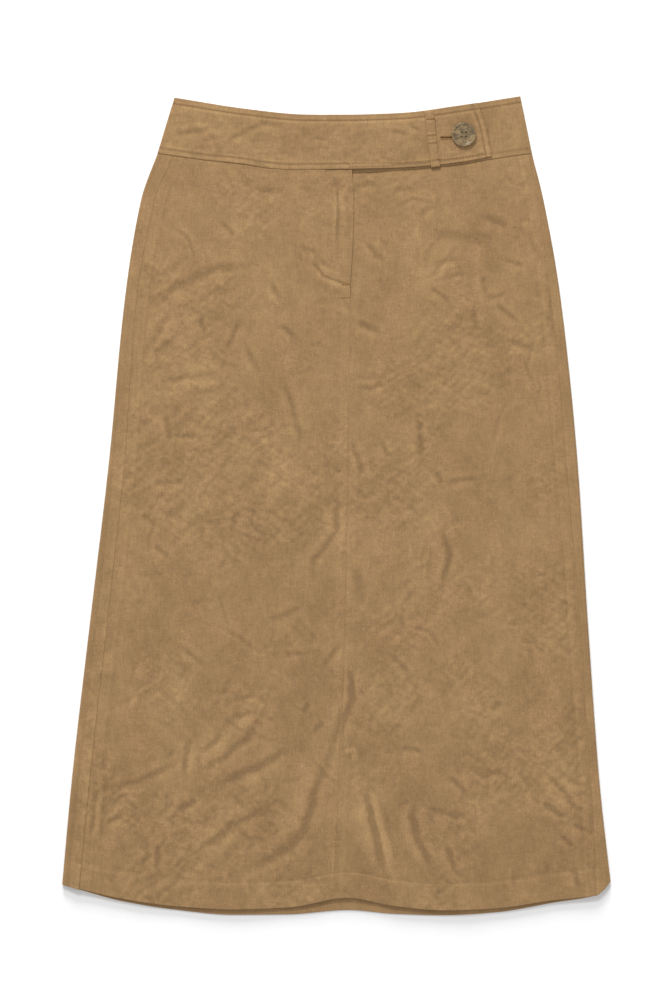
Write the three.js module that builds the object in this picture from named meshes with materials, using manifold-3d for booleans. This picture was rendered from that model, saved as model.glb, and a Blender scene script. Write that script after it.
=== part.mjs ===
// A-line midi skirt in brushed cotton, laid flat on its back with its side folds pressed.
// Millimetres. X runs across the skirt, Y from hem to waist, Z up from the surface it lies on.
// The origin is the middle of the outline, on that surface. "Left" and "right" in the piece
// names are the wearer's, so the right front is on the -X side.
import * as THREE from "three";
import { mergeVertices } from "three/addons/utils/BufferGeometryUtils.js";
import Module from "manifold-3d";

const wasm = await Module();
wasm.setup();

// ---- Driving dimensions ----
const cloth = 1.0; // one layer of cloth
const bandCloth = 2.0; // waistband: outer cloth and facing pressed together
const seamGap = 0.3; // between neighbouring pieces
const foldHeight = 3.9; // overall thickness of the pressed side fold
const hemDepth = 27; // turn-up of the hem
const hemExtra = 0.7; // how much the turn-up adds to the wall, on the inside

const foldCap = 2.0; // the folds raise the front no more than this
const fly = { bottom: 228, lap: 14, lapFade: 16, fade: 24, top: 335, topRise: 0.7 };
const zip = { halfWidth: 11, thick: 1.2, top: 342, bottom: 236, coilHalf: 3, coilRise: 0.3 };
const tab = { liftStart: -16, liftEnd: -2 };
const underlapStart = 1; // where the left front's waistband begins, under the right one
const loop = { width: 9.4, thick: 1.2 };
const button = { x: 132, y: 385, radius: 12.5, thick: 3.4, rim: 2.2, dish: 1.0 };
const holes = { radius: 1.0, spread: 2.3 };
const slit = { left: 108, right: 137, y: 382, width: 0.9 };

// ---- Outline ----
// Sections from waist seam to hem: the two side folds, and how far in from each fold
// its side seam lies, because the back panel rolls round to the front.
const sections = [
  { y: 366, left: -186, leftStrip: 18, rightStrip: 4, right: 203 },
  { y: 318, left: -203, leftStrip: 14.5, rightStrip: 6.5, right: 215 },
  { y: 214, left: -220, leftStrip: 12.5, rightStrip: 10, right: 233 },
  { y: 50, left: -236, leftStrip: 16.5, rightStrip: 12, right: 250 },
  { y: -120, left: -256, leftStrip: 18.5, rightStrip: 8.5, right: 261 },
  { y: -285, left: -275, leftStrip: 19, rightStrip: 9, right: 273 },
  { y: -393, left: -285, leftStrip: 18.5, rightStrip: 16, right: 285 },
];

// Hem lines across the skirt: the back hangs a little lower than the front.
const hemline = [
  { x: -285, front: -393, back: -393.5 },
  { x: -222, front: -408, back: -411 },
  { x: -165, front: -416, back: -420 },
  { x: -107, front: -419, back: -425 },
  { x: -50, front: -417, back: -424.5 },
  { x: 12, front: -407, back: -420 },
  { x: 60, front: -415.5, back: -424 },
  { x: 112, front: -420, back: -425.5 },
  { x: 165, front: -418, back: -422.5 },
  { x: 225, front: -409.5, back: -412.5 },
  { x: 269, front: -404.5, back: -405 },
  { x: 278, front: -398.5, back: -398.5 },
  { x: 285, front: -389.5, back: -389.5 },
];

// Waistband: its top edge, dipping at the centre front.
const bandTop = [
  { x: -168, y: 424 },
  { x: -91, y: 412 },
  { x: -33, y: 406.5 },
  { x: 11, y: 406 },
  { x: 69, y: 408 },
  { x: 127, y: 415.5 },
  { x: 191, y: 425.5 },
];

// Lower edge of the right front's band, which runs on past the centre as a free tab.
const rightBandFoot = [
  { x: -186, y: 366 },
  { x: -132, y: 358.5 },
  { x: -98, y: 355 },
  { x: -70, y: 350.5 },
  { x: -44, y: 349 },
  { x: 57, y: 350.5 },
  { x: 98, y: 353 },
  { x: 139, y: 358 },
  { x: 162, y: 363 },
];

// Seam of the left front to its band, a little lower than the tab that covers it.
const leftBandFoot = [
  { x: 0, y: 345 },
  { x: 46, y: 347 },
  { x: 109, y: 352 },
  { x: 161, y: 360 },
  { x: 203, y: 366 },
];

// Seam of the back to its band, hidden behind the front: a shallow arc.
const backSeam = { low: 350, rise: 16, middle: 8.5, half: 194.5 };

// The centre front: the edge of the fly, then the seam below it, down to the hem.
const centreFront = [
  { y: 350, x: 16 },
  { y: 318, x: 18 },
  { y: 262, x: 16.5 },
  { y: 229, x: 14.5 },
  { y: 110, x: 13 },
  { y: -160, x: 7.5 },
  { y: -264, x: 3 },
  { y: -390, x: -2 },
  { y: -425, x: -3 },
];

// End of the tab, which slants.
const tabEnd = [
  { y: 419, x: 146 },
  { y: 394, x: 155 },
  { y: 362, x: 161.5 },
];

// The waistband's side folds are straight.
const bandSide = { leftFoot: -186, leftHead: -168, rightFoot: 203, rightHead: 191, foot: 366, head: 425 };

// The largest folds of the front: each runs from one end to the other, and its rise is
// the height of its crest, or the depth of its trough where it is below 0.
const folds = [
  { name: "lap hollow", x0: 4, y0: -195, x1: -34, y1: -345, half: 9, rise: -1.0 },
  { name: "hem flare left", x0: -20, y0: -262, x1: -62, y1: -372, half: 15, rise: 2.2 },
  { name: "hem flare right", x0: 18, y0: -300, x1: 44, y1: -395, half: 13, rise: 2.4 },
  { name: "hem arch", x0: 8, y0: -330, x1: 14, y1: -412, half: 20, rise: 2.0 },
  { name: "long drag 1", x0: -22, y0: -150, x1: -180, y1: -330, half: 12, rise: 1.6 },
  { name: "long drag 2", x0: -60, y0: -235, x1: -205, y1: -300, half: 10, rise: 1.3 },
  { name: "hip drag left", x0: -95, y0: 222, x1: -200, y1: 170, half: 13, rise: 1.5 },
  { name: "hip drag right", x0: 60, y0: 232, x1: 165, y1: 214, half: 11, rise: 1.4 },
  { name: "thigh left", x0: -65, y0: 120, x1: -50, y1: -60, half: 14, rise: 1.2 },
  { name: "thigh right", x0: 92, y0: 60, x1: 108, y1: -90, half: 14, rise: 1.3 },
  { name: "side roll right", x0: 222, y0: -40, x1: 226, y1: -330, half: 16, rise: 1.2 },
  { name: "side roll left", x0: -205, y0: 30, x1: -222, y1: -240, half: 15, rise: 1.2 },
];

// ---- Curves and shapes ----
const clamp = (t) => Math.min(1, Math.max(0, t));
const smooth = (t) => clamp(t) ** 2 * (3 - 2 * clamp(t));
const mix = (a, b, t) => a + t * (b - a);

// A smooth curve through a table's rows, column `to` as a function of column `from`,
// that never bulges past two neighbouring rows.
function through(table, from, to) {
  const rows = [...table].sort((a, b) => a[from] - b[from]);
  const slope = rows.slice(1).map((r, i) => (r[to] - rows[i][to]) / (r[from] - rows[i][from]));
  const tangent = rows.map((_, i) => {
    const [before, after] = [slope[i - 1] ?? slope[i], slope[i] ?? slope[i - 1]];
    return before * after <= 0 ? 0 : (2 * before * after) / (before + after);
  });
  return (at) => {
    const last = rows.length - 2;
    let i = rows.findIndex((r) => r[from] > at) - 1;
    i = i < -1 ? last : Math.min(last, Math.max(0, i));
    const span = rows[i + 1][from] - rows[i][from];
    const t = (at - rows[i][from]) / span;
    if (t < 0) return rows[i][to] + t * span * tangent[i];
    if (t > 1) return rows[i + 1][to] + (t - 1) * span * tangent[i + 1];
    const [a, b] = [rows[i][to], rows[i + 1][to]];
    const bend = t * (1 - t) * span * ((1 - t) * tangent[i] - t * tangent[i + 1]);
    return mix(a, b, smooth(t)) + bend;
  };
}

const leftFold = through(sections, "y", "left");
const rightFold = through(sections, "y", "right");
const leftStrip = through(sections, "y", "leftStrip");
const rightStrip = through(sections, "y", "rightStrip");
const frontHem = through(hemline, "x", "front");
const backHem = through(hemline, "x", "back");
const waistTop = through(bandTop, "x", "y");
const rightFoot = through(rightBandFoot, "x", "y");
const leftFoot = through(leftBandFoot, "x", "y");
const centre = through(centreFront, "y", "x");
const tabEdge = through(tabEnd, "y", "x");
const backFoot = (x) => backSeam.low + backSeam.rise * ((x - backSeam.middle) / backSeam.half) ** 2;
const bandLeft = (y) =>
  mix(bandSide.leftFoot, bandSide.leftHead, (y - bandSide.foot) / (bandSide.head - bandSide.foot));
const bandRight = (y) =>
  mix(bandSide.rightFoot, bandSide.rightHead, (y - bandSide.foot) / (bandSide.head - bandSide.foot));

// The point a share u across and v down a piece bounded by four curves.
function placeOn({ left, right, top, bottom }, u, v) {
  const across = (y) => mix(left(y), right(y), u);
  const meet = (line, start) => {
    let y = start;
    for (let i = 0; i < 12; i++) y = line(across(y));
    return y;
  };
  const y = mix(meet(top, 380), meet(bottom, -380), v);
  return [across(y), y];
}

// A wall of cloth on a surface(u, v), reaching above and below it as far as thick(u, v) says,
// as a closed mesh.
// us and vs are the shares across and down at which it has its rows of points.
function wall(surface, us, vs, thick) {
  const step = 1e-4;
  const at = (u, v) => new THREE.Vector3(...surface(u, v));
  const sides = [1, -1].map((side) =>
    us.map((u) =>
      vs.map((v) => {
        const [u0, u1] = [Math.max(0, u - step), Math.min(1, u + step)];
        const [v0, v1] = [Math.max(0, v - step), Math.min(1, v + step)];
        const normal = at(u1, v).sub(at(u0, v)).cross(at(u, v0).sub(at(u, v1))).normalize();
        const { above, below } = thick(u, v);
        return at(u, v).addScaledVector(normal, side > 0 ? above : -below);
      }),
    ),
  );
  const points = [];
  const face = (a, b, c, d) => points.push(a, b, c, a, c, d);
  const [upper, lower] = sides;
  for (let i = 0; i + 1 < us.length; i++)
    for (let j = 0; j + 1 < vs.length; j++) {
      face(upper[i][j], upper[i][j + 1], upper[i + 1][j + 1], upper[i + 1][j]);
      face(lower[i][j], lower[i + 1][j], lower[i + 1][j + 1], lower[i][j + 1]);
    }
  const [m, n] = [us.length - 1, vs.length - 1];
  for (let i = 0; i < m; i++) {
    face(upper[i][0], upper[i + 1][0], lower[i + 1][0], lower[i][0]);
    face(upper[i][n], lower[i][n], lower[i + 1][n], upper[i + 1][n]);
  }
  for (let j = 0; j < n; j++) {
    face(upper[0][j], lower[0][j], lower[0][j + 1], upper[0][j + 1]);
    face(upper[m][j], upper[m][j + 1], lower[m][j + 1], lower[m][j]);
  }
  return new THREE.BufferGeometry().setFromPoints(points);
}

const shares = (n) => Array.from({ length: n + 1 }, (_, i) => i / n);

// Rows from waist to hem, with more at the waist, the foot of the fly and the hem's turn-up.
const bodyRows = [...shares(25), 0.014, 0.14, 0.966].sort((a, b) => a - b);

function solidOf(geometry) {
  const bare = new THREE.BufferGeometry().setAttribute("position", geometry.getAttribute("position"));
  if (geometry.index) bare.setIndex(geometry.index);
  const merged = mergeVertices(bare, 1e-4);
  return new wasm.Manifold(
    new wasm.Mesh({
      numProp: 3,
      vertProperties: merged.attributes.position.array,
      triVerts: new Uint32Array(merged.index.array),
    }),
  );
}

function geometryOf(solid) {
  const mesh = solid.getMesh();
  return new THREE.BufferGeometry()
    .setAttribute("position", new THREE.BufferAttribute(mesh.vertProperties, 3))
    .setIndex(new THREE.BufferAttribute(mesh.triVerts, 1));
}

// ---- Heights ----
const backLevel = cloth / 2; // middle of the layer that lies on the surface
const frontLevel = foldHeight - cloth / 2; // middle of the upper layer

// How far a point is raised by the folds. They die out at their ends, at the waist and at the sides.
function foldsAt(x, y) {
  const room = smooth((x - leftFold(y) - 26) / 22) * smooth((rightFold(y) - 22 - x) / 20);
  let rise = 0;
  for (const f of folds) {
    const [dx, dy] = [f.x1 - f.x0, f.y1 - f.y0];
    const length = Math.hypot(dx, dy);
    const along = ((x - f.x0) * dx + (y - f.y0) * dy) / length;
    const off = ((x - f.x0) * dy - (y - f.y0) * dx) / length;
    const ends = smooth(along / (0.3 * length)) * smooth((length - along) / (0.3 * length));
    rise += f.rise * ends * Math.exp(-((off / f.half) ** 2));
  }
  return foldCap * Math.tanh((rise * room) / foldCap);
}

// The right front lies over the left one at the fly, and over its waistband at the very top.
function flyLift(x, y) {
  const inFly = smooth((y - fly.bottom + fly.fade) / fly.fade);
  const height = cloth + seamGap + fly.topRise * smooth((y - fly.top) / 8);
  return height * inFly * smooth((x - centre(y) + fly.lap + fly.lapFade) / fly.lapFade);
}

const lapUnder = (y) => fly.lap * smooth((y - fly.bottom) / 14);

// ---- Cloth pieces ----
function panelWall(edges, level, across) {
  const surface = (u, v) => {
    const [x, y] = placeOn(edges, u, v);
    return [x, y, level(x, y)];
  };
  const thick = (u, v) => {
    const [x, y] = placeOn(edges, u, v);
    const turnUp = smooth((frontHem(x) + hemDepth - y) / 4);
    return { above: cloth / 2, below: cloth / 2 + hemExtra * turnUp };
  };
  return wall(surface, shares(across), bodyRows, thick);
}

function frontRight() {
  const edges = {
    left: (y) => leftFold(y) + leftStrip(y) + seamGap / 2,
    right: (y) => centre(y) - seamGap / 2,
    top: (x) => rightFoot(x) - seamGap,
    bottom: frontHem,
  };
  return panelWall(edges, (x, y) => frontLevel + foldsAt(x, y) + flyLift(x, y), 14);
}

function frontLeft() {
  const edges = {
    left: (y) => centre(y) - lapUnder(y) + seamGap / 2,
    right: (y) => rightFold(y) - rightStrip(y) - seamGap / 2,
    top: (x) => leftFoot(x) - seamGap,
    bottom: frontHem,
  };
  return panelWall(edges, (x, y) => frontLevel + foldsAt(x, y), 15);
}

// The back rolls round both side folds and comes forward to the side seams.
function back() {
  const radius = (frontLevel - backLevel) / 2;
  const outer = radius + cloth / 2;
  const arc = [1, 0.75, 0.5, 0.25, 0].map((t) => t * Math.PI); // from the front layer down to the back
  const stations = [
    ...[0, 0.5].map((t) => ({ on: "leftStrip", t })),
    ...arc.map((angle) => ({ on: "leftArc", angle })),
    ...shares(14).slice(1, -1).map((t) => ({ on: "bed", t })),
    ...[...arc].reverse().map((angle) => ({ on: "rightArc", angle })),
    ...[0.5, 1].map((t) => ({ on: "rightStrip", t })),
  ];
  const xz = (s, y) => {
    const [l, r] = [leftFold(y) + outer, rightFold(y) - outer];
    const [seamL, seamR] = [
      leftFold(y) + leftStrip(y) - seamGap / 2,
      rightFold(y) - rightStrip(y) + seamGap / 2,
    ];
    if (s.on === "leftStrip") return [mix(seamL, l, s.t), frontLevel];
    if (s.on === "rightStrip") return [mix(r, seamR, s.t), frontLevel];
    if (s.on === "bed") return [mix(l, r, s.t), backLevel];
    const [mid, reach, rise] = [
      (frontLevel + backLevel) / 2,
      radius * Math.sin(s.angle),
      -radius * Math.cos(s.angle),
    ];
    return s.on === "leftArc" ? [l - reach, mid + rise] : [r + reach, mid + rise];
  };
  const last = stations.length - 1;
  const pointAt = (i, v) => {
    const s = stations[i];
    const meet = (line, start) => {
      let y = start;
      for (let k = 0; k < 12; k++) y = line(xz(s, y)[0]);
      return y;
    };
    const y = mix(meet((x) => backFoot(x) - seamGap, 366), meet(backHem, -390), v);
    const [x, z] = xz(s, y);
    return [x, y, z];
  };
  const surface = (u, v) => {
    const place = u * last;
    const i = Math.min(last - 1, Math.floor(place));
    const [a, b] = [pointAt(i, v), pointAt(i + 1, v)];
    return a.map((_, k) => mix(a[k], b[k], place - i));
  };
  const thick = (u, v) => {
    const turnUp = smooth((v - 0.962) / 0.006);
    const flat = smooth((u * last - 6.2) / 0.6) * smooth((last - 6.2 - u * last) / 0.6);
    return { above: cloth / 2 + 0.6 * hemExtra * turnUp * flat, below: cloth / 2 };
  };
  return wall(surface, shares(last), bodyRows, thick);
}

const bandWall = { above: bandCloth / 2, below: bandCloth / 2 };

function bandPiece(edges, level, across) {
  const surface = (u, v) => {
    const [x, y] = placeOn(edges, u, v);
    return [x, y, level(x, y)];
  };
  return wall(surface, shares(across), shares(4), () => bandWall);
}

const backBandLevel = bandCloth / 2;
const frontBandLevel = bandCloth * 1.5 + seamGap;
const tabLift = (x) => (bandCloth + seamGap) * smooth((x - tab.liftStart) / (tab.liftEnd - tab.liftStart));

const bandBack = () =>
  bandPiece({ left: bandLeft, right: bandRight, top: waistTop, bottom: backFoot }, () => backBandLevel, 26);

const bandLeftFront = () =>
  bandPiece(
    { left: () => underlapStart, right: bandRight, top: waistTop, bottom: leftFoot },
    () => frontBandLevel,
    16,
  );

// The right front's band and its tab, with the buttonhole cut through.
function bandRightFront() {
  const plain = bandPiece(
    { left: bandLeft, right: tabEdge, top: waistTop, bottom: rightFoot },
    (x) => frontBandLevel + tabLift(x),
    36,
  );
  const cutter = new THREE.BoxGeometry(slit.right - slit.left, slit.width, 4 * bandCloth);
  cutter.translate((slit.left + slit.right) / 2, slit.y, frontBandLevel + tabLift(slit.left));
  return geometryOf(solidOf(plain).subtract(solidOf(cutter)));
}

// ---- Trims ----
const tabTop = frontBandLevel + bandCloth + seamGap + bandCloth / 2; // upper face of the tab

// The carrier that holds the tab: over its face, and down past its lower edge.
function carrier() {
  const path = [
    { x: 95.6, y: 409.6, z: tabTop + seamGap + loop.thick / 2 },
    { x: 98.8, y: 393, z: tabTop + seamGap + loop.thick / 2 },
    { x: 101, y: 374, z: tabTop + seamGap + loop.thick / 2 },
    { x: 103.2, y: 357, z: tabTop + seamGap + loop.thick / 2 },
    { x: 103.6, y: 352.8, z: tabTop + loop.thick / 2 + 0.1 },
    { x: 103.8, y: 351.2, z: tabTop - 0.4 },
    { x: 102.6, y: 350.9, z: tabTop - 1.7 },
  ];
  const surface = (u, v) => {
    const place = v * (path.length - 1);
    const i = Math.min(path.length - 2, Math.floor(place));
    const [a, b, t] = [path[i], path[i + 1], place - i];
    return [mix(a.x, b.x, t) + (u - 0.5) * loop.width, mix(a.y, b.y, t), mix(a.z, b.z, t)];
  };
  return wall(surface, shares(3), shares(path.length - 1), () => ({
    above: loop.thick / 2,
    below: loop.thick / 2,
  }));
}

// A turned button with a raised rim, a shallow dish and four holes.
function buttonBody() {
  const { radius, thick, rim, dish } = button;
  const profile = [
    [0, 0],
    [radius - 1.6, 0],
    [radius - 0.3, 1.1],
    [radius, 2.0],
    [radius - 0.4, thick - 0.4],
    [radius - 1.1, thick],
    [radius - rim, thick - 0.25],
    [radius - rim - 1.2, thick - dish],
    [0, thick - dish],
  ].map(([x, y]) => new THREE.Vector2(x, y));
  const turned = new THREE.LatheGeometry(profile, 40).rotateX(Math.PI / 2);
  let solid = solidOf(turned);
  for (const [i, j] of [[-1, -1], [-1, 1], [1, -1], [1, 1]]) {
    const hole = new THREE.CylinderGeometry(holes.radius, holes.radius, 3 * thick, 12).rotateX(Math.PI / 2);
    hole.translate(i * holes.spread, j * holes.spread, thick / 2);
    solid = solid.subtract(solidOf(hole));
  }
  return geometryOf(solid);
}

// The closed zip behind the fly: two tapes and the coil between them, as one strip.
function zipStrip() {
  const { halfWidth, coilHalf, coilRise, thick } = zip;
  const section = new THREE.Shape(
    [
      [-halfWidth, 0],
      [halfWidth, 0],
      [halfWidth, thick - coilRise],
      [coilHalf, thick - coilRise],
      [coilHalf, thick],
      [-coilHalf, thick],
      [-coilHalf, thick - coilRise],
      [-halfWidth, thick - coilRise],
    ].map(([x, y]) => new THREE.Vector2(x, y)),
  );
  return new THREE.ExtrudeGeometry(section, { depth: zip.top - zip.bottom, bevelEnabled: false }).rotateX(
    Math.PI / 2,
  );
}

// ---- The skirt ----
const skirt = new THREE.Group();
const dyed = { color: "#a6835c", roughness: 0.92, metalness: 0 };
const finish = {
  cloth: dyed,
  horn: { color: "#98866a", roughness: 0.35, metalness: 0 },
  tape: { color: "#8a7152", roughness: 0.8, metalness: 0 },
};

function add(name, geometry, look, position = [0, 0, 0]) {
  const mesh = new THREE.Mesh(geometry, new THREE.MeshStandardMaterial(finish[look]));
  mesh.name = name;
  mesh.position.set(...position);
  skirt.add(mesh);
}

add("back_panel", back(), "cloth");
add("front_right_panel", frontRight(), "cloth");
add("front_left_panel", frontLeft(), "cloth");
add("waistband_back", bandBack(), "cloth");
add("waistband_left_front", bandLeftFront(), "cloth");
add("waistband_right_front_tab", bandRightFront(), "cloth");
add("tab_carrier", carrier(), "cloth");
add("button", buttonBody(), "horn", [button.x, button.y, tabTop + seamGap]);
add("fly_zip", zipStrip(), "tape", [centre(290) - 2, zip.top, cloth + seamGap]);

export default skirt;
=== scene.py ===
import math
import random

import bmesh
import bpy
import numpy as np
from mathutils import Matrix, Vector, noise


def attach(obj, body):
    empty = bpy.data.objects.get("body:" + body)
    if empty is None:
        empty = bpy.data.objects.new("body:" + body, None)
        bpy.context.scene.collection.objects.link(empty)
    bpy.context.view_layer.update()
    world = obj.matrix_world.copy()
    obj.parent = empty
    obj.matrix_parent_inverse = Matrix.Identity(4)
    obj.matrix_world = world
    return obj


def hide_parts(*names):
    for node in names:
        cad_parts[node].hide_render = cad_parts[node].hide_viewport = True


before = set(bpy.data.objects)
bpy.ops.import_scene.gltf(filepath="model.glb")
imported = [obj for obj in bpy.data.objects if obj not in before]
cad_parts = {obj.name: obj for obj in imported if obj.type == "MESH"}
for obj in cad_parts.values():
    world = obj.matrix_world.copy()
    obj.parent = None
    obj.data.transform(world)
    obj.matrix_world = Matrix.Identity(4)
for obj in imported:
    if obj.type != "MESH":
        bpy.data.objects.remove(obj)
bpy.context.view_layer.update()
scene = bpy.context.scene
mm = 0.001  # the tables below are in millimetres, on the CAD model's own axes
print("frame loaded:", len(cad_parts), "nodes")


def table(columns, *rows):  # a short table with named columns
    return dict(zip(columns.split(), np.array(rows, float).T))


def curve(rows, x, y):  # smooth through a table's points, never bulging past two neighbours
    order = np.argsort(rows[x])
    xs, ys = rows[x][order], rows[y][order]
    slope = np.diff(ys) / np.diff(xs)
    before, after = np.r_[slope[0], slope], np.r_[slope, slope[-1]]
    total = np.where(before * after > 0, before + after, 1.0)
    tangent = np.where(before * after > 0, 2 * before * after / total, 0.0)

    def at(q):
        q = np.asarray(q, float)
        i = np.clip(np.searchsorted(xs, q) - 1, 0, len(xs) - 2)
        span = xs[i + 1] - xs[i]
        raw = (q - xs[i]) / span
        t = np.clip(raw, 0, 1)
        ease = t * t * (3 - 2 * t)
        bend = t * (1 - t) * span * ((1 - t) * tangent[i] - t * tangent[i + 1])
        past = (raw - t) * span * np.where(raw < 0, tangent[i], tangent[i + 1])
        return ys[i] + (ys[i + 1] - ys[i]) * ease + bend + past

    return at


def smooth(t):  # an even step from 0 to 1
    t = np.clip(t, 0, 1)
    return t * t * (3 - 2 * t)


# the skirt's outline: its side folds, and how far in from each the side seam lies
sections = table("y left leftStrip rightStrip right",
    (366, -186, 18, 4, 203), (318, -203, 14.5, 6.5, 215), (214, -220, 12.5, 10, 233),
    (50, -236, 16.5, 12, 250), (-120, -256, 18.5, 8.5, 261), (-285, -275, 19, 9, 273),
    (-393, -285, 18.5, 16, 285))
hemline = table("x front back",
    (-285, -393, -393.5), (-222, -408, -411), (-165, -416, -420), (-107, -419, -425),
    (-50, -417, -424.5), (12, -407, -420), (60, -415.5, -424), (112, -420, -425.5),
    (165, -418, -422.5), (225, -409.5, -412.5), (269, -404.5, -405), (278, -398.5, -398.5),
    (285, -389.5, -389.5))
bandTopLine = table("x y",
    (-168, 424), (-91, 412), (-33, 406.5), (11, 406), (69, 408), (127, 415.5), (191, 425.5))
rightFootLine = table("x y",
    (-186, 366), (-132, 358.5), (-98, 355), (-70, 350.5), (-44, 349), (57, 350.5), (98, 353),
    (139, 358), (162, 363))
leftFootLine = table("x y",
    (0, 345), (46, 347), (109, 352), (161, 360), (203, 366))
centreLine = table("y x",
    (350, 16), (318, 18), (262, 16.5), (229, 14.5), (110, 13), (-160, 7.5), (-264, 3), (-390, -2),
    (-425, -3))
tabEndLine = table("y x",
    (419, 146), (394, 155), (362, 161.5))

leftFold, rightFold = curve(sections, "y", "left"), curve(sections, "y", "right")
leftStrip, rightStrip = curve(sections, "y", "leftStrip"), curve(sections, "y", "rightStrip")
frontHem, backHem = curve(hemline, "x", "front"), curve(hemline, "x", "back")
bandTop = curve(bandTopLine, "x", "y")
rightFoot, leftFoot = curve(rightFootLine, "x", "y"), curve(leftFootLine, "x", "y")
centre, tabEdge = curve(centreLine, "y", "x"), curve(tabEndLine, "y", "x")


def backFoot(x):
    return 350 + 16 * ((x - 8.5) / 194.5) ** 2


def bandLeft(y):
    return -186 + 18 * (y - 366) / 59


def bandRight(y):
    return 203 - 12 * (y - 366) / 59


# layers, in millimetres above the surface: middle of each
cloth = {"thick": 1.0, "back": 0.5, "front": 3.4, "band": 3.3, "bandThick": 2.0, "bandBack": 1.0, "tab": 5.6}
seamGap = 0.02  # between two sewn edges

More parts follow.
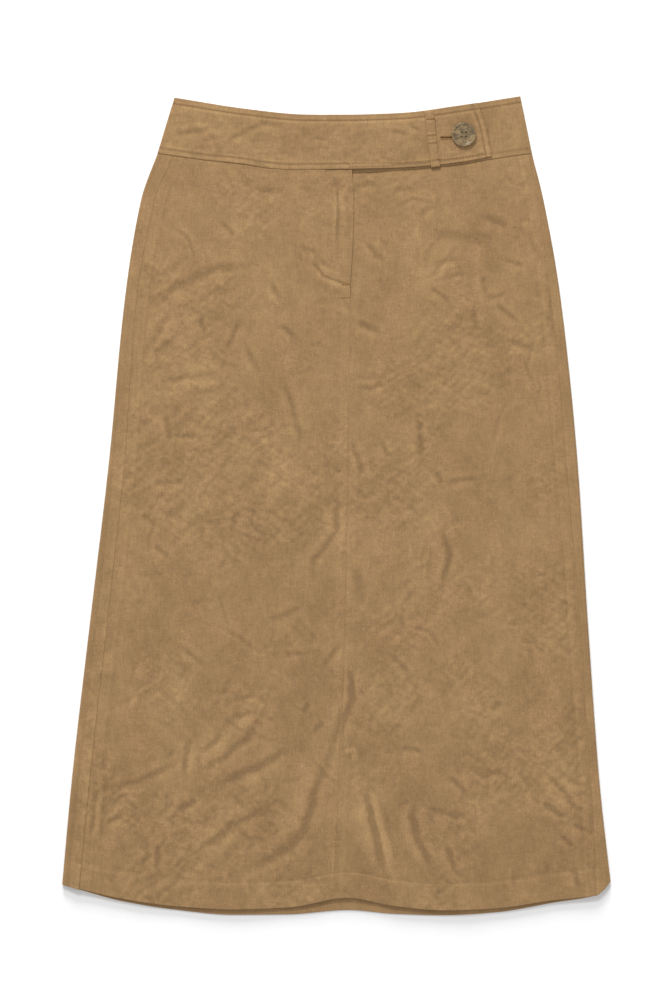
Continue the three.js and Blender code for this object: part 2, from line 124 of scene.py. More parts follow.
# creases of the front: half width, rise (below 0 is a trough) and the points they run through
creases = [
    (7, -2.4, (-3, -246), (-14, -272), (-25, -306), (-35, -338), (-48, -355), (-78, -370), (-107, -382)),
    (6, -1.7, (12, -172), (16, -200), (5, -228), (-7, -255)),
    (6, -1.8, (-37, -253), (-59, -257), (-86, -274), (-112, -287), (-133, -302)),
    (5, -1.4, (-143, -304), (-167, -319)),
    (6, -1.7, (-71, -212), (-95, -242), (-118, -263), (-152, -282)),
    (6, -1.8, (-59, -308), (-78, -319), (-107, -333), (-152, -367)),
    (6, -1.8, (27, -289), (35, -316), (44, -353), (52, -382)),
    (5, 1.6, (36, -300), (45, -330), (54, -360), (60, -388)),
    (5, -1.6, (80, -306), (79, -323), (84, -348), (101, -376)),
    (6, -1.7, (-192, 209), (-163, 230), (-122, 247), (-86, 250)),
    (9, -1.5, (95, 283), (132, 279), (171, 274)),
    (4.5, -1.3, (20, 192), (49, 179)),
    (5, -1.3, (1, 12), (-1, -26), (-23, -56), (-25, -82)),
    (5, -1.3, (86, 92), (88, 50)),
    (5, -1.3, (107, -18), (118, -52), (107, -94)),
    (8, -1.2, (22, -60), (24, -107)),
    (4, -0.7, (-118, -234), (-141, -259)),
    (4.5, -0.9, (-163, -263), (-205, -285), (-239, -293)),
    (4, -0.7, (-241, -329), (-214, -321)),
    (4, -0.7, (-186, -346), (-186, -380)),
    (4, -0.6, (-194, -357), (-205, -374)),
    (4, -0.8, (-152, -238), (-160, -282)),
    (3.5, -0.6, (-27, -204), (-37, -215)),
    (3.5, -0.6, (-12, -223), (-27, -238)),
    (4, -0.6, (-110, -202), (-84, -198)),
    (4, -0.6, (-110, -221), (-84, -212)),
    (4, 0.9, (8, -256), (20, -255), (22, -268)),
    (4, -0.8, (112, -348), (124, -380)),
    (4, -0.8, (211, -306), (237, -323)),
    (4.5, -0.9, (217, -276), (250, -312)),
    (3.5, -0.6, (243, -329), (260, -337)),
    (3.5, -0.6, (232, -340), (247, -355)),
    (4, -0.7, (247, -374), (250, -397)),
    (5, -0.8, (139, -276), (177, -276)),
    (4.5, -0.8, (95, -314), (137, -324)),
    (4, -0.7, (65, -251), (93, -255)),
    (4, -0.7, (118, -280), (137, -299)),
    (4, -0.7, (54, -151), (78, -176)),
    (4, -0.6, (171, -200), (160, -215)),
    (5, -0.9, (-197, 160), (-171, 203)),
    (4, -0.7, (-192, 154), (-171, 175)),
    (4.5, -0.8, (-188, 128), (-141, 137), (-116, 137)),
    (4, -0.7, (-116, 160), (-99, 196)),
    (4, -0.7, (-67, 232), (-56, 211)),
    (4, -0.7, (-61, 190), (-39, 173)),
    (4.5, -0.8, (-97, 171), (-78, 135)),
    (4, -0.7, (-120, 296), (-103, 279)),
    (4.5, -0.7, (-86, 328), (-50, 328)),
    (4, -0.6, (-143, 198), (-137, 177)),
    (4, -0.6, (-27, 249), (-10, 256)),
    (4, -0.6, (-39, 268), (-20, 266)),
    (5, -0.9, (150, 302), (182, 290)),
    (4, -0.7, (97, 250), (128, 258)),
    (4, -0.7, (171, 258), (197, 248)),
    (4.5, -0.8, (175, 175), (192, 169), (207, 160)),
    (4, -0.6, (150, 214), (177, 222)),
    (4, -0.7, (163, 213), (190, 190)),
    (4, -0.7, (20, 123), (54, 125)),
    (4, -0.7, (95, 230), (120, 211)),
    (4, -0.7, (31, 275), (42, 260), (54, 254)),
    (4, -0.6, (84, 298), (99, 315)),
    (4, -0.7, (18, 327), (46, 336)),
    (4, -0.6, (56, 328), (82, 330)),
    (3.5, -0.5, (188, 296), (203, 300)),
    (4, -0.7, (201, 279), (213, 251)),
    (4, -0.7, (141, 207), (146, 181)),
    (4, -0.6, (152, 241), (154, 220)),
    (5, -0.9, (-54, 130), (-46, 105), (-39, 75), (-42, 58)),
    (4.5, -0.8, (-33, -103), (-73, -122)),
    (4, -0.7, (-205, -7), (-186, -20)),
    (4, -0.7, (-194, -36), (-173, -54)),
    (4.5, -0.7, (-180, 99), (-171, 67)),
    (4, -0.7, (-172, 72), (-137, 73)),
    (4, -0.7, (-194, 24), (-160, 26)),
    (4, -0.7, (-101, -1), (-112, -31)),
    (4, -0.7, (-160, -147), (-135, -167)),
    (4, -0.6, (-59, -154), (-33, -152)),
    (4.5, -0.8, (-14, -171), (3, -141)),
    (4, -0.7, (103, 37), (109, 22)),
    (4, -0.7, (109, 24), (150, 31)),
    (4.5, -0.8, (16, 69), (29, 29)),
    (4, -0.7, (44, 71), (56, 48)),
    (10, -0.8, (186, 118), (183, 60), (179, -1)),
    (4, -0.7, (12, -167), (16, -194)),
    (11, -1.1, (-219, -71), (-216, -130), (-210, -188)),
    (3, 0.7, (-244, -278), (-250, -352)),
    (3, 0.8, (273, -285), (278, -388)),
    # the fly facing shows through
    (1.7, -0.4, (-2, 341), (0.9, 329.5), (1.3, 311), (1.3, 262)),
    (3.4, 0.25, (6, 343), (8, 310), (8, 250)),
    # the fly's curved stitching draws the cloth in
    (1.7, -0.5, (-27, 252.5), (-23, 251), (-15, 240.5), (-4, 235.4), (7.5, 231.6), (16, 231)),
    (2.6, 0.2, (-30, 247), (-19, 235), (-6, 229), (8, 225.5), (16, 226)),
    (2.2, 0.2, (-24, 257), (-12, 247), (0, 241), (12, 240)),
]

# broad lifts of the front, where it stands off the back
lifts = [
    (24, 3.4, (-8, -300), (12, -350), (14, -416)),
    (18, 2.2, (-20, -262), (-62, -372)),
    (17, 2.0, (20, -300), (70, -400)),
    (20, 1.6, (-22, -150), (-110, -240), (-180, -330)),
    (16, 1.3, (-60, -235), (-205, -300)),
    (18, 1.4, (-95, 226), (-200, 176)),
    (16, 1.3, (60, 232), (165, 214)),
    (20, 1.2, (-65, 120), (-50, -60)),
    (20, 1.2, (92, 60), (108, -90)),
    (20, 1.2, (222, -40), (226, -330)),
    (18, 1.2, (-205, 30), (-222, -240)),
]

bandCreases = [
    (3.5, -0.35, (-173, 385), (-124, 394)),
    (3.5, -0.4, (-122, 370), (-107, 383), (-78, 397), (-50, 397)),
    (3, -0.3, (54, 390), (78, 385)),
    (3, -0.3, (73, 397), (88, 389)),
    (3, -0.25, (27, 358), (46, 358)),
    (4, 0.3, (-150, 400), (-118, 384)),
    (3, -0.25, (-30, 384), (2, 378)),
    (3, -0.25, (168, 404), (184, 388)),
]


def creaseHeight(x, y, rows):  # each crease dies out at its ends, with a low swell beside it
    height = np.zeros_like(x)
    for half, rise, *points in rows:
        points = np.array(points, float)
        reach = 4.5 * half
        low, high = points.min(0) - reach, points.max(0) + reach
        near = (x > low[0]) & (x < high[0]) & (y > low[1]) & (y < high[1])
        if not near.any():
            continue
        px, py = x[near], y[near]
        steps = np.linalg.norm(np.diff(points, axis=0), axis=1)
        starts = np.r_[0, np.cumsum(steps)]
        best = np.full(px.shape, 1e9)
        along, side = np.zeros_like(px), np.zeros_like(px)
        for i, step in enumerate(steps):
            dx, dy = (points[i + 1] - points[i]) / step
            t = np.clip((px - points[i][0]) * dx + (py - points[i][1]) * dy, 0, step)
            offX, offY = px - points[i][0] - t * dx, py - points[i][1] - t * dy
            gap = np.hypot(offX, offY)
            closer = gap < best
            best = np.where(closer, gap, best)
            along = np.where(closer, starts[i] + t, along)
            side = np.where(closer, offX * dy - offY * dx, side)
        length = starts[-1]
        fade = smooth(along / (0.32 * length)) * smooth((length - along) / (0.32 * length))
        past = np.exp(-(best / half) ** 2)
        swell = 0.45 * np.exp(-((side - 1.9 * half) / (1.5 * half)) ** 2)
        height[near] += rise * (0.15 + 0.85 * fade) * (past - swell * fade)
    return height


def scattered(seed, count, box, length, width, rise):  # small creases, the same on every run
    draw = random.Random(seed)
    rows = []
    for _ in range(count):
        x, y = draw.uniform(box[0], box[1]), draw.uniform(box[2], box[3])
        run, turn = draw.uniform(*length), draw.gauss(0.9, 0.9)
        half, bow = draw.uniform(*width), draw.uniform(-0.35, 0.35)
        dx, dy = run * math.cos(turn) / 2, run * math.sin(turn) / 2
        middle = (x - bow * dy, y + bow * dx)
        tall = draw.uniform(*rise) * draw.choice((-1, -1, 1))
        rows.append((half, tall, (x - dx, y - dy), middle, (x + dx, y + dy)))
    return rows


def cloudy(x, y, size, seed, octaves=3):  # soft uneven swells, -1 to 1
    spots = zip(x.ravel() / size, y.ravel() / size)
    flat = [noise.fractal((a, b, seed), 1.0, 2.0, octaves) for a, b in spots]
    return np.array(flat).reshape(x.shape)


frontSmall = scattered(7, 260, (-245, 265, -400, 345), (14, 55), (2.2, 4.6), (0.05, 0.24))
backSmall = scattered(11, 420, (-265, 265, -400, 350), (14, 60), (2.8, 5.5), (0.2, 0.6))
backLong = scattered(23, 46, (-230, 230, -380, 320), (60, 150), (5, 9), (0.5, 1.0))


def seamLines(x, y):  # pressed-open allowances raise the cloth beside a seam, and the stitching sinks it
    height = np.zeros_like(x)
    for line in (leftFold(y) + leftStrip(y), rightFold(y) - rightStrip(y)):
        off = np.abs(x - line)
        height += 0.14 * smooth((13 - off) / 4) - 0.1 * np.exp(-(off / 1.4) ** 2)
    below = smooth((228 - y) / 6)
    off = np.abs(x - centre(y))
    return height + below * (0.1 * smooth((12 - off) / 5) - 0.05 * np.exp(-(off / 1.4) ** 2))


def puckers(x, y, size, lean, seed):  # soft uneven puckers, drawn out along the drag of the cloth
    along, across = x * math.cos(lean) + y * math.sin(lean), y * math.cos(lean) - x * math.sin(lean)
    return cloudy(along / 2.2, across, size, seed, 3)


def frontRelief(x, y):
    wander = cloudy(x, y, 42, 3.1, 2)
    wx, wy = x + 2.6 * wander, y - 2.2 * wander
    sides = smooth((x - leftFold(y) - 3) / 16) * smooth((rightFold(y) - 3 - x) / 16)
    top = smooth((355 - y) / 14)
    height = 0.62 * creaseHeight(wx, wy, creases) + 0.75 * creaseHeight(wx, wy, frontSmall)
    height += 0.8 * creaseHeight(x, y, lifts)
    crumpled = smooth((cloudy(x, y, 70, 12.5, 1) + 0.35) / 0.6)
    height += crumpled * (0.42 * puckers(wx, wy, 15, 0.7, 1.7) + 0.36 * puckers(wx, wy, 18, -0.5, 14.2))
    height += 1.3 * cloudy(x, y, 80, 9.7, 2) + 0.22 * cloudy(x, y, 24, 5.3, 3) + 0.6
    overHem = y - frontHem(x)
    turnUp = 0.3 * smooth((28 - overHem) / 2.2) + 0.12 * np.exp(-((overHem - 28.5) / 1.3) ** 2)
    height = height * sides * (0.25 + 0.75 * top) + seamLines(x, y) + turnUp * sides
    return np.maximum(height, -1.15 + 0.2 * height / (1 + np.abs(height)))


def flyLift(x, y):  # the right front lies over the left one at the fly
    inFly = smooth((y - 204) / 24)
    return (1.3 + 0.7 * smooth((y - 335) / 8)) * inFly * smooth((x - centre(y) + 30) / 16)


def lapUnder(y):
    return 14 * smooth((y - 228) / 14)


def backRelief(x, y):  # creases lift the underside a little, and the rest lies on the surface
    rise = creaseHeight(x, y, backSmall) + creaseHeight(x, y, backLong) + 0.25 * cloudy(x, y, 60, 2.2, 2)
    return np.clip(rise - 0.12, 0, 1.3)


bandRows = {"top": 6, "foot": 5.5, "tabEnd": 6.5}  # how far in from each edge the stitching runs


def bandRelief(x, y):
    top, foot = bandTop(x), np.where(x < 12, rightFoot(x), leftFoot(x))
    quilt = np.exp(-((y - top + bandRows["top"]) / 1.2) ** 2)
    quilt += np.exp(-((y - foot - bandRows["foot"]) / 1.2) ** 2)
    quilt += np.exp(-((x - tabEdge(y) + bandRows["tabEnd"]) / 1.2) ** 2) * smooth((160 - x) / 3)
    wrinkles = 0.22 * puckers(x, y, 12, 0.2, 4.4)
    return creaseHeight(x, y, bandCreases) + 0.4 * cloudy(x, y, 26, 8.8, 3) + wrinkles - 0.5 * quilt + 0.15


# meshes
def newPiece(name, points, faces, material):
    mesh = bpy.data.meshes.new(name)
    mesh.from_pydata(points, [], faces)
    mesh.materials.append(material)
    mesh.polygons.foreach_set("use_smooth", [True] * len(mesh.polygons))
    piece = bpy.data.objects.new(name, mesh)
    scene.collection.objects.link(piece)
    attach(piece, "root")
    return piece


def placeOn(left, right, top, bottom, us, vs):  # a grid of points between four lines
    u, v = np.meshgrid(us, vs, indexing="ij")

    def across(y):
        return left(y) + (right(y) - left(y)) * u

    def meet(line, start):
        y = np.full_like(u, start)
        for _ in range(14):
            y = line(across(y))
        return y

    y = meet(top, 380.0) * (1 - v) + meet(bottom, -380.0) * v
    return across(y), y


def spread(length, step):  # shares along a side, closer together at its rolled edges
    edge = [0, 0.03, 0.12, 0.35, 0.7, 1.2]
    inner = np.linspace(1.9, length - 1.9, max(3, int((length - 3.8) / step)))
    return np.r_[edge, inner, length - np.array(edge[::-1])] / length


def sheet(name, x, y, z, half, material, napAndShade=None, rolls=(1, 1, 1, 1)):
    # a closed wall of cloth; rolls says how round its four edges are, as a share of half its thickness
    grid = np.stack([x, y, z], axis=-1)
    normal = np.cross(np.gradient(grid, axis=0), -np.gradient(grid, axis=1))
    normal /= np.linalg.norm(normal, axis=-1, keepdims=True)
    borders = [grid[:1], grid[-1:], grid[:, :1], grid[:, -1:]]
    edge = np.min([np.linalg.norm(grid - b, axis=-1) / r for b, r in zip(borders, rolls)], axis=0)
    roll = np.sqrt(np.clip(1 - (1 - np.clip(edge / half, 0, 1)) ** 2, 0, 1))[..., None]
    upper, lower = grid + normal * half * roll, grid - normal * half * roll
    nu, nv = x.shape
    top = np.arange(nu * nv).reshape(nu, nv)
    under = top.copy()
    under[1:-1, 1:-1] = nu * nv + np.arange((nu - 2) * (nv - 2)).reshape(nu - 2, nv - 2)
    points = np.concatenate([upper.reshape(-1, 3), lower[1:-1, 1:-1].reshape(-1, 3)]) * mm
    faces = []
    for ids, flip in ((top, False), (under, True)):
        ring = [ids[:-1, :-1], ids[:-1, 1:], ids[1:, 1:], ids[1:, :-1]]
        faces.append(np.stack(ring[::-1] if flip else ring, axis=-1).reshape(-1, 4))
    faces = np.concatenate(faces)
    piece = newPiece(name, points.tolist(), faces.tolist(), material)
    if napAndShade is not None:  # how far a point stands above or below the cloth around it, kept for the cloth's paler rubbed ridges and the painted shade in its troughs
        both = np.concatenate([napAndShade.reshape(-1), napAndShade[1:-1, 1:-1].reshape(-1)])
        layer = piece.data.attributes.new("napAndShade", "FLOAT", "POINT")
        layer.data.foreach_set("value", both.astype(np.float32))
    return piece


def napAndShadeOf(z, reach=3):  # height against its own surroundings, for rubbed nap paler on ridges and painted shade darker in troughs
    soft = z
    for _ in range(reach):
        padded = np.pad(soft, 1, mode="edge")
        soft = (padded[2:, 1:-1] + padded[:-2, 1:-1] + padded[1:-1, 2:] + padded[1:-1, :-2] + 4 * soft) / 8
    return np.clip((z - soft) * 11, -1, 1)


# materials
def linear(code):  # an sRGB hex colour, as the shader wants it
    parts = [int(code[i:i + 2], 16) / 255 for i in (1, 3, 5)]
    return tuple(c / 12.92 if c <= 0.04045 else ((c + 0.055) / 1.055) ** 2.4 for c in parts) + (1.0,)


def addNode(tree, kind, settings=None, inputs=None, links=None, ramp=()):  # one node, its settings and links
    node = tree.nodes.new(kind)
    for key, value in (settings or {}).items():
        setattr(node, key, value)
    for key, value in (inputs or {}).items():
        node.inputs[key].default_value = value
    for key, socket in (links or {}).items():
        tree.links.new(socket, node.inputs[key])
    for i, (position, colour) in enumerate(ramp):
        if i > 1:
            node.color_ramp.elements.new(position)
        node.color_ramp.elements[i].position, node.color_ramp.elements[i].color = position, colour
    return node


def startMaterial(name):
    material = bpy.data.materials.new(name)
    material.use_nodes = True
    material.node_tree.nodes.clear()
    return material, material.node_tree


# grains in millimetres, each along x and y, then detail, roughness and turn; the real threads
# are about 0.4 apart and are drawn coarser so that they show
brushedCotton = {
    "blotch": (62, 80, 4, 0.55, 0.0), "stain": (38, 52, 2, 0.55, 0.0), "patch": (16, 22, 3, 0.55, 0.5),
    "warp": (1.4, 11, 3, 0.6, 0.0), "weft": (9, 1.6, 3, 0.6, 0.0), "speck": (1.5, 2.4, 2, 0.7, 0.0),
    "fuzz": (0.9, 1.3, 2, 0.7, 0.0), "creaseShadeLines": (44, 24, 5, 0.6, 0.6), "creaseShadeLinesFine": (20, 30, 4, 0.6, 0.3),
    "dark": "#977651", "light": "#AA885E", "pink": "#A58360", "straw": "#A0855D",
}
# how much lighter or darker each grain makes the cloth
cottonDepth = {"patch": 0.035, "warp": 0.036, "weft": 0.026, "speck": 0.05}


def brushedCottonMaterial(name, shift=(0, 0, 0)):
    # peached cotton: matt, cloudy in tone, with slubs along both threads, its nap rubbed paler on crease
    # ridges, painted shade in the crease troughs, and painted shade and highlight lines for fine creases
    look = brushedCotton
    material, tree = startMaterial(name)
    place = addNode(tree, "ShaderNodeTexCoord").outputs["Object"]
    place = addNode(tree, "ShaderNodeMapping", inputs={"Location": shift}, links={"Vector": place})
    grains = {}
    for key in ("blotch", "stain", "patch", "warp", "weft", "speck", "fuzz", "creaseShadeLines", "creaseShadeLinesFine"):
        sizeX, sizeY, detail, rough, turn = look[key]
        scale = (1 / (sizeX * mm), 1 / (sizeY * mm), 1 / (sizeX * mm))
        scaled = addNode(tree, "ShaderNodeMapping", inputs={"Scale": scale, "Rotation": (0, 0, turn)},
                         links={"Vector": place.outputs["Vector"]})
        made = addNode(tree, "ShaderNodeTexNoise",
                       inputs={"Scale": 1.0, "Detail": detail, "Roughness": rough},
                       links={"Vector": scaled.outputs["Vector"]})
        grains[key] = made.outputs["Fac"]

    tone = addNode(tree, "ShaderNodeValToRGB", links={"Fac": grains["blotch"]},
                   ramp=((0.28, linear(look["dark"])), (0.74, linear(look["light"]))))
    stain = addNode(tree, "ShaderNodeValToRGB", links={"Fac": grains["stain"]},
                    ramp=((0.36, linear(look["straw"])), (0.64, linear(look["pink"]))))
    colour = addNode(tree, "ShaderNodeMix", {"data_type": "RGBA"}, {0: 0.22},
                     {6: tone.outputs["Color"], 7: stain.outputs["Color"]}).outputs[2]
    # relief against the surroundings: paler on ridges as rubbed nap, darker in troughs as painted shade
    napAndShade = addNode(tree, "ShaderNodeAttribute", {"attribute_name": "napAndShade"}).outputs["Fac"]
    napAndShade = addNode(tree, "ShaderNodeMapRange", inputs={"From Min": -1.0}, links={"Value": napAndShade})
    ripples = [(grains[key], depth, 0.3, 0.7) for key, depth in cottonDepth.items()]
    for factor, depth, low, high in ripples + [(napAndShade.outputs["Result"], 0.1, 0.1, 0.9)]:
        dark, light = 0.5 - depth, 0.5 + depth
        ripple = addNode(tree, "ShaderNodeValToRGB", links={"Fac": factor},
                         ramp=((low, (dark, dark, dark, 1)), (high, (light, light, light, 1))))
        colour = addNode(tree, "ShaderNodeMix", {"data_type": "RGBA", "blend_type": "OVERLAY"}, {0: 1.0},
                         {6: colour, 7: ripple.outputs["Color"]}).outputs[2]
    for key, pale in (("creaseShadeLines", 0.55), ("creaseShadeLinesFine", 0.535)):  # painted shade and highlight of fine creases: a dark line with a pale one beside it
        paintedCreaseLines = addNode(tree, "ShaderNodeValToRGB", links={"Fac": grains[key]},
                        ramp=((0.47, (0.5, 0.5, 0.5, 1)), (0.495, (0.47, 0.47, 0.47, 1)),
                              (0.51, (pale, pale, pale, 1)), (0.535, (0.5, 0.5, 0.5, 1))))
        patchy = addNode(tree, "ShaderNodeMapRange", inputs={"From Min": 0.44, "From Max": 0.6},
                         links={"Value": grains["stain"]})
        colour = addNode(tree, "ShaderNodeMix", {"data_type": "RGBA", "blend_type": "OVERLAY"}, {},
                         {0: patchy.outputs["Result"], 6: colour, 7: paintedCreaseLines.outputs["Color"]}).outputs[2]

    nap = addNode(tree, "ShaderNodeBump", inputs={"Strength": 0.5, "Distance": 0.0004},
                  links={"Height": grains["fuzz"]})
    for key, depth in (("warp", 0.0003), ("weft", 0.0003), ("patch", 0.0012)):
        nap = addNode(tree, "ShaderNodeBump", inputs={"Strength": 0.5, "Distance": depth},
                      links={"Height": grains[key], "Normal": nap.outputs["Normal"]})
    shader = addNode(tree, "ShaderNodeBsdfPrincipled",
                     inputs={"Roughness": 0.93, "Specular IOR Level": 0.18, "Sheen Weight": 0.1,
                             "Sheen Roughness": 0.6, "Sheen Tint": linear("#D8BC98")},
                     links={"Base Color": colour, "Normal": nap.outputs["Normal"]})
    addNode(tree, "ShaderNodeOutputMaterial", links={"Surface": shader.outputs["BSDF"]})
    return material


def threadMaterial(name, dark, light):
    # spun polyester thread: a dull gloss with a fine twist across it
    material, tree = startMaterial(name)
    place = addNode(tree, "ShaderNodeTexCoord").outputs["Object"]
    twist = addNode(tree, "ShaderNodeTexNoise", inputs={"Scale": 900.0, "Detail": 2.0},
                    links={"Vector": place})
    bump = addNode(tree, "ShaderNodeBump", inputs={"Strength": 0.4, "Distance": 0.0002},
                   links={"Height": twist.outputs["Fac"]})
    strand = addNode(tree, "ShaderNodeValToRGB", links={"Fac": twist.outputs["Fac"]},
                     ramp=((0.3, linear(dark)), (0.7, linear(light))))
    shader = addNode(tree, "ShaderNodeBsdfPrincipled", inputs={"Roughness": 0.55, "Specular IOR Level": 0.35},
                     links={"Base Color": strand.outputs["Color"], "Normal": bump.outputs["Normal"]})
    addNode(tree, "ShaderNodeOutputMaterial", links={"Surface": shader.outputs["BSDF"]})
    return material


def hornMaterial(name, middle):
    # horn-look polyester: smoky brown clouds and pale streaks under a polished face
    material, tree = startMaterial(name)
    place = addNode(tree, "ShaderNodeTexCoord").outputs["Object"]
    centred = addNode(tree, "ShaderNodeVectorMath", {"operation": "SUBTRACT"}, links={0: place})
    centred.inputs[1].default_value = middle
    streaks = addNode(tree, "ShaderNodeMapping", inputs={"Scale": (170, 420, 170), "Rotation": (0, 0, 0.35)},
                      links={"Vector": centred.outputs[0]})
    smoke = addNode(tree, "ShaderNodeTexNoise",
                    inputs={"Scale": 1.0, "Detail": 4.0, "Roughness": 0.62, "Distortion": 0.8},
                    links={"Vector": streaks.outputs["Vector"]})
    flare = addNode(tree, "ShaderNodeTexNoise", inputs={"Scale": 75.0, "Detail": 2.0},
                    links={"Vector": centred.outputs[0]})
    clouds = addNode(tree, "ShaderNodeValToRGB", links={"Fac": smoke.outputs["Fac"]},
                     ramp=((0.34, linear("#5C4B37")), (0.66, linear("#A58E68"))))
    pale = addNode(tree, "ShaderNodeValToRGB", links={"Fac": flare.outputs["Fac"]},
                   ramp=((0.3, linear("#6E6A60")), (0.7, linear("#CDBE9E"))))
    colour = addNode(tree, "ShaderNodeMix", {"data_type": "RGBA", "blend_type": "SOFT_LIGHT"}, {0: 0.5},
                     {6: clouds.outputs["Color"], 7: pale.outputs["Color"]})
    shader = addNode(tree, "ShaderNodeBsdfPrincipled",
                     inputs={"Roughness": 0.28, "IOR": 1.54, "Coat Weight": 0.25, "Coat Roughness": 0.12},
                     links={"Base Color": colour.outputs[2]})
    addNode(tree, "ShaderNodeOutputMaterial", links={"Surface": shader.outputs["BSDF"]})
    return material


def tapeMaterial(name):
    # woven polyester zip tape: fine cross ribs, slightly shiny
    material, tree = startMaterial(name)
    place = addNode(tree, "ShaderNodeTexCoord").outputs["Object"]
    ribs = addNode(tree, "ShaderNodeTexWave", {"bands_direction": "Y"}, {"Scale": 200.0}, {"Vector": place})
    bump = addNode(tree, "ShaderNodeBump", inputs={"Strength": 0.4, "Distance": 0.0003},
                   links={"Height": ribs.outputs["Fac"]})
    weave = addNode(tree, "ShaderNodeValToRGB", links={"Fac": ribs.outputs["Fac"]},
                    ramp=((0.3, linear("#7E6648")), (0.7, linear("#947A58"))))
    shader = addNode(tree, "ShaderNodeBsdfPrincipled", inputs={"Roughness": 0.7},
                     links={"Base Color": weave.outputs["Color"], "Normal": bump.outputs["Normal"]})
    addNode(tree, "ShaderNodeOutputMaterial", links={"Surface": shader.outputs["BSDF"]})
    return material


frontCloth = brushedCottonMaterial("brushedCottonFront")
backCloth = brushedCottonMaterial("brushedCottonBack", (0.31, 0.17, 0.2))
bandCloth = brushedCottonMaterial("brushedCottonBand", (-0.43, 0.29, 0.1))
topThread = threadMaterial("topstitchThread", "#7D5A30", "#A07744")
print("materials made")

# front and back panels
panels = {"step": 2.0, "backStep": 4.6}


def frontPanel(name, left, right, foot, widthGuess, lifted, centreEdge):
    us, vs = spread(widthGuess, panels["step"]), spread(765, panels["step"])
    x, y = placeOn(left, right, lambda x: foot(x) - seamGap / 2, frontHem, us, vs)
    relief = frontRelief(x, y)
    z = cloth["front"] + relief + (flyLift(x, y) if lifted else 0)
    z -= 0.5 * np.exp(-((foot(x) - y) / 1.6) ** 2)  # turned in at the waist seam
    if not lifted:
        z -= 1.0 * smooth((64 - x) / 40) * np.exp(-((foot(x) - y) / 2.4) ** 2)  # and drawn under the tab
    rolls = [0.06, 0.06, 1, 1]  # the sewn edges meet flat, and the fly's edge is a round fold
    rolls[centreEdge] = 0.06 + 0.94 * smooth((y[-centreEdge] - 224) / 12)[None, :]
    return sheet(name, x, y, z, cloth["thick"] / 2, frontCloth, napAndShadeOf(relief), rolls)


frontRight = frontPanel("frontRightCloth", lambda y: leftFold(y) + leftStrip(y) + seamGap / 2,
                        lambda y: centre(y) - seamGap / 2, rightFoot, 225, True, 1)
frontLeft = frontPanel("frontLeftCloth", lambda y: centre(y) - lapUnder(y) + seamGap / 2,
                       lambda y: rightFold(y) - rightStrip(y) - seamGap / 2, leftFoot, 228, False, 0)
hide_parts("front_right_panel")
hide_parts("front_left_panel")
print("front panels made")


def backPanel(name):  # one sheet, round both side folds and forward to the side seams
    radius = (cloth["front"] - cloth["back"]) / 2
    outer = radius + cloth["thick"] / 2
    vs = spread(790, 3.0)
    arc = np.linspace(math.pi, 0, 9)
    strip = np.r_[0, 0.01, 0.03, 0.06, np.linspace(0.12, 0.95, 8)]
    bed = np.linspace(0, 1, int(565 / panels["backStep"]))[1:-1]
    columns = [("leftStrip", t) for t in strip] + [("leftArc", t) for t in arc] + [("bed", t) for t in bed]
    columns += [("rightArc", t) for t in arc[::-1]] + [("rightStrip", 1 - t) for t in strip[::-1]]
    xs, ys, zs, napAndShadeRises = [], [], [], []
    for kind, t in columns:
        def acrossAt(y):
            l, r = leftFold(y) + outer, rightFold(y) - outer
            seamL = leftFold(y) + leftStrip(y) - seamGap / 2
            seamR = rightFold(y) - rightStrip(y) + seamGap / 2
            return {"leftStrip": seamL + (l - seamL) * t, "rightStrip": r + (seamR - r) * t,
                    "bed": l + (r - l) * t, "leftArc": l - radius * math.sin(t),
                    "rightArc": r + radius * math.sin(t)}[kind]

        ends = []
        for line, start in ((backFoot, 366.0), (backHem, -390.0)):
            y = np.array(start)
            for _ in range(14):
                y = line(acrossAt(y)) - (seamGap / 2 if line is backFoot else 0)
            ends.append(y)
        y = ends[0] + (ends[1] - ends[0]) * vs
        x = acrossAt(y)
        middle = (cloth["front"] + cloth["back"]) / 2
        if kind == "bed":
            inside = smooth((x - leftFold(y) - 8) / 18) * smooth((rightFold(y) - 8 - x) / 18)
            rise = backRelief(x, y) * inside
            z = cloth["back"] + rise
        elif kind.endswith("Arc"):
            rise = np.zeros_like(y)
            z = middle - radius * math.cos(t) + rise
        else:
            rise = frontRelief(x, y)
            z = cloth["front"] + rise
        xs.append(x), ys.append(y), zs.append(z), napAndShadeRises.append(rise)
    x, y, z = np.array(xs), np.array(ys), np.array(zs)
    # this sheet's normals point into the skirt, so its columns run the other way
    napAndShade = napAndShadeOf(np.array(napAndShadeRises)[::-1])
    return sheet(name, x[::-1], y[::-1], z[::-1], cloth["thick"] / 2, backCloth, napAndShade, (0.06, 0.06, 1, 1))


back = backPanel("backCloth")
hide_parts("back_panel")
print("back panel made")

# waistband
bands = {"step": 2.0}


def tabLift(x):  # the tab stands off the band most just past the fly
    return (cloth["tab"] - cloth["band"]) * smooth((x + 16) / 14) + 0.7 * np.exp(-((x - 32) / 22) ** 2)


def bandPiece(name, left, right, foot, level, relief, widthGuess):
    us, vs = spread(widthGuess, bands["step"]), spread(58, bands["step"])
    x, y = placeOn(left, right, bandTop, foot, us, vs)
    high = relief(x, y)
    return sheet(name, x, y, level(x) + high, cloth["bandThick"] / 2, bandCloth, napAndShadeOf(high))


